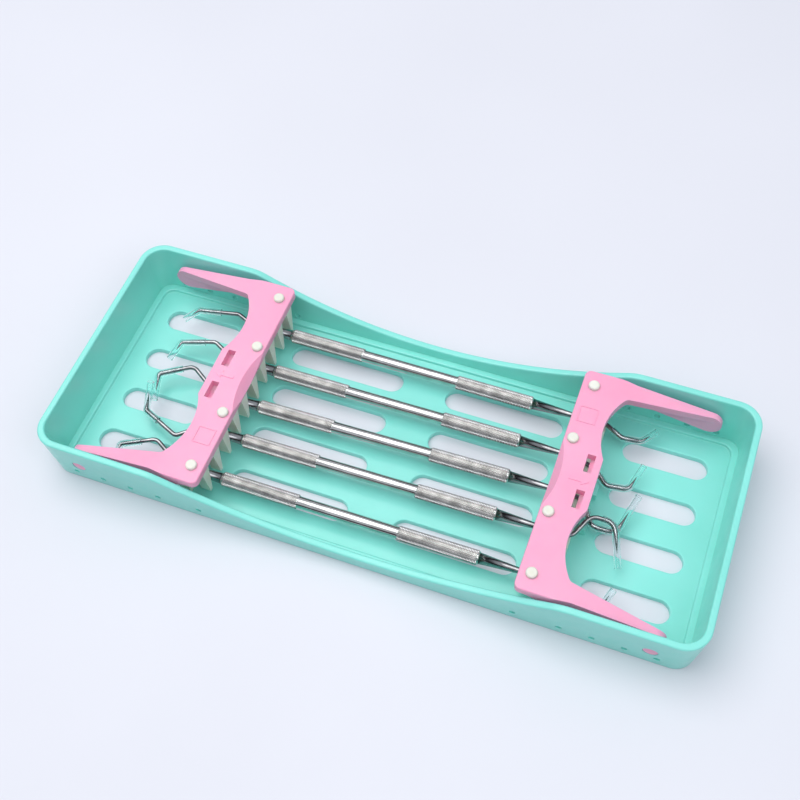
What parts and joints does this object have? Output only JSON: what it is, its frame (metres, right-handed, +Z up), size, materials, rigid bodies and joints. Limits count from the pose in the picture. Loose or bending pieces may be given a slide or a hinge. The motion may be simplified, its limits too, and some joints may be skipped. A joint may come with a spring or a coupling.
{
  "type": "instrument tray",
  "caption": "Shallow open tray with drain slots and dipped long walls, holding slim double-ended hand instruments under hinged comb clamps.",
  "frame": {"origin": "centre of the tray's underside, on the surface that it stands on", "axes": "+X along the tray, +Y across it, +Z up"},
  "size_m": [0.2098, 0.0838, 0.0202],
  "materials": {
    "tray_plastic": "mint green moulded plastic, satin, slightly darker in the corners",
    "clamp_plastic": "pale pink moulded plastic, satin",
    "silicone": "off-white silicone rubber, matte",
    "knurled_steel": "bright plated steel, diamond knurl at both grips",
    "tip_steel": "polished bright steel",
    "clear_sleeve": "clear flexible plastic tube"
  },
  "bodies": {
    "tray": {"tray_base": "tray_plastic", "left_rest_strip": "silicone", "right_rest_strip": "silicone", "handle_1": "knurled_steel", "left_tip_1": "tip_steel", "left_sleeve_1": "clear_sleeve", "right_tip_1": "tip_steel", "right_sleeve_1": "clear_sleeve", "handle_2": "knurled_steel", "left_tip_2": "tip_steel", "left_sleeve_2": "clear_sleeve", "right_tip_2": "tip_steel", "right_sleeve_2": "clear_sleeve", "handle_3": "knurled_steel", "left_tip_3": "tip_steel", "left_sleeve_3": "clear_sleeve", "right_tip_3": "tip_steel", "right_sleeve_3": "clear_sleeve", "handle_4": "knurled_steel", "left_tip_4": "tip_steel", "left_sleeve_4": "clear_sleeve", "right_tip_4": "tip_steel", "right_sleeve_4": "clear_sleeve", "handle_5": "knurled_steel", "left_tip_5": "tip_steel", "left_sleeve_5": "clear_sleeve", "right_tip_5": "tip_steel", "right_sleeve_5": "clear_sleeve"},
    "left_clamp": {"left_clamp": "clamp_plastic", "left_comb": "silicone"},
    "right_clamp": {"right_clamp": "clamp_plastic", "right_comb": "silicone"}
  },
  "joints": [
    {"name": "left_clamp_hinge", "type": "hinge", "parent": "tray", "child": "left_clamp", "pos_m": [-0.0905, 0, 0.0097], "axis": [0, -1, 0], "range_deg": [0, 100]},
    {"name": "right_clamp_hinge", "type": "hinge", "parent": "tray", "child": "right_clamp", "pos_m": [0.0905, 0, 0.0097], "axis": [0, 1, 0], "range_deg": [0, 100]}
  ]
}
